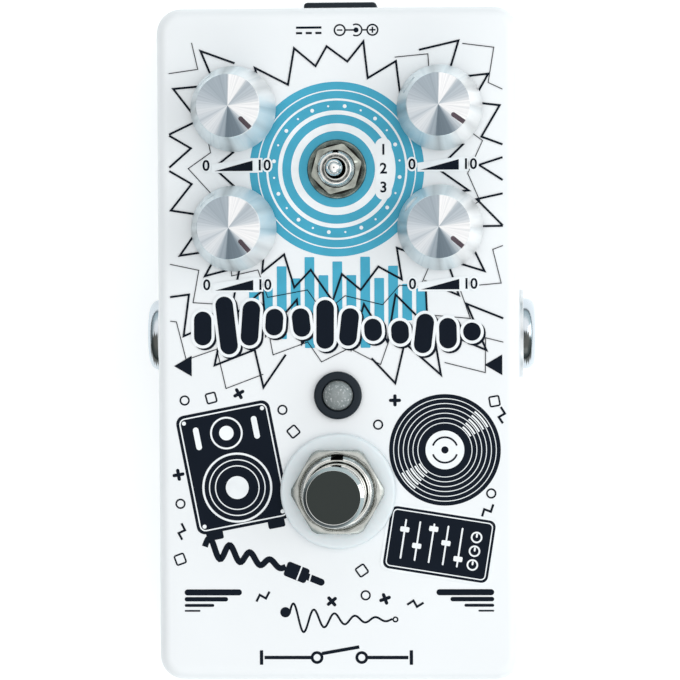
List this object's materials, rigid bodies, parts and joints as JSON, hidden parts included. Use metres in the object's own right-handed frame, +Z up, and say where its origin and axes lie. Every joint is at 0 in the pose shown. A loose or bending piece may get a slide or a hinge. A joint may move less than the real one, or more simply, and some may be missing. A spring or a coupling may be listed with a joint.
{
  "type": "guitar effect pedal",
  "caption": "White die-cast delay pedal with aluminium knobs, a toggle switch, an indicator lamp, a footswitch, side jacks and an end power socket.",
  "frame": {"origin": "middle of the bounding box in plan, on the surface that the rubber feet stand on", "axes": "+Z up out of the control face, +Y towards the power socket end, +X towards the input jack"},
  "size_m": [0.0654, 0.1138, 0.0507],
  "materials": {
    "white_paint": "smooth satin powder coat over die-cast aluminium, with a printed control face",
    "aluminium": "turned and polished, spun rings on the flat tops",
    "nickel": "bright nickel plate",
    "steel": "zinc-plated steel",
    "brass": "spring brass",
    "rubber": "matt black",
    "nylon": "milky translucent nylon",
    "black_plastic": "black moulded plastic",
    "blue_plastic": "blue moulded plastic",
    "clear_lens": "water-clear moulded lens, unlit",
    "green_board": "green solder mask",
    "grey_cable": "grey insulation"
  },
  "bodies": {
    "box": {"enclosure": "white_paint", "bottom_cover": "white_paint", "lamp": "clear_lens", "lamp_bezel": "black_plastic", "toggle_case": "nickel", "toggle_washer": "nickel", "toggle_nut": "nickel", "footswitch_case": "blue_plastic", "footswitch_bushing": "nickel", "footswitch_spring": "steel", "footswitch_washer": "nylon", "footswitch_nut": "nickel", "footswitch_lock_nut": "nickel", "power_socket": "black_plastic", "power_socket_pin": "nickel", "main_board": "green_board", "switch_board": "green_board", "delay_chip": "black_plastic", "amplifier_chip": "black_plastic", "ribbon_cable": "grey_cable", "capacitor_1": "aluminium", "capacitor_2": "aluminium", "cover_screw_1": "steel", "foot_1": "rubber", "cover_screw_2": "steel", "foot_2": "rubber", "cover_screw_3": "steel", "foot_3": "rubber", "cover_screw_4": "steel", "foot_4": "rubber", "feedback_pot": "blue_plastic", "feedback_pot_nut": "nickel", "time_pot": "blue_plastic", "time_pot_nut": "nickel", "mix_pot": "blue_plastic", "mix_pot_nut": "nickel", "boost_pot": "blue_plastic", "boost_pot_nut": "nickel", "input_jack": "black_plastic", "input_jack_contact": "brass", "input_jack_washer": "nickel", "input_jack_nut": "nickel", "output_jack": "black_plastic", "output_jack_contact": "brass", "output_jack_washer": "nickel", "output_jack_nut": "nickel"},
    "feedback_control": {"feedback_knob": "aluminium", "feedback_shaft": "steel", "feedback_grub_screw": "steel"},
    "time_control": {"time_knob": "aluminium", "time_shaft": "steel", "time_grub_screw": "steel"},
    "mix_control": {"mix_knob": "aluminium", "mix_shaft": "steel", "mix_grub_screw": "steel"},
    "boost_control": {"boost_knob": "aluminium", "boost_shaft": "steel", "boost_grub_screw": "steel"},
    "toggle_lever": {"toggle_lever": "nickel"},
    "footswitch_button": {"footswitch_button": "nickel"}
  },
  "joints": [
    {"name": "feedback_turn", "type": "hinge", "parent": "box", "child": "feedback_control", "pos_m": [-0.017, 0.03797, 0.04], "axis": [0, 0, 1], "range_deg": [-15, 285]},
    {"name": "time_turn", "type": "hinge", "parent": "box", "child": "time_control", "pos_m": [0.017, 0.03797, 0.04], "axis": [0, 0, 1], "range_deg": [-25, 275]},
    {"name": "mix_turn", "type": "hinge", "parent": "box", "child": "mix_control", "pos_m": [-0.017, 0.01827, 0.04], "axis": [0, 0, 1], "range_deg": [-11, 289]},
    {"name": "boost_turn", "type": "hinge", "parent": "box", "child": "boost_control", "pos_m": [0.017, 0.01827, 0.04], "axis": [0, 0, 1], "range_deg": [-20, 280]},
    {"name": "toggle_tilt", "type": "hinge", "parent": "box", "child": "toggle_lever", "pos_m": [0, 0.02797, 0.0359], "axis": [1, 0, 0], "range_deg": [-12, 12]},
    {"name": "footswitch_press", "type": "slide", "parent": "box", "child": "footswitch_button", "axis": [0, 0, -1], "range_m": [0, 0.0035], "stiffness_N_per_m": 2000, "springref_m": -0.0015, "deforming": ["footswitch_spring"]}
  ]
}
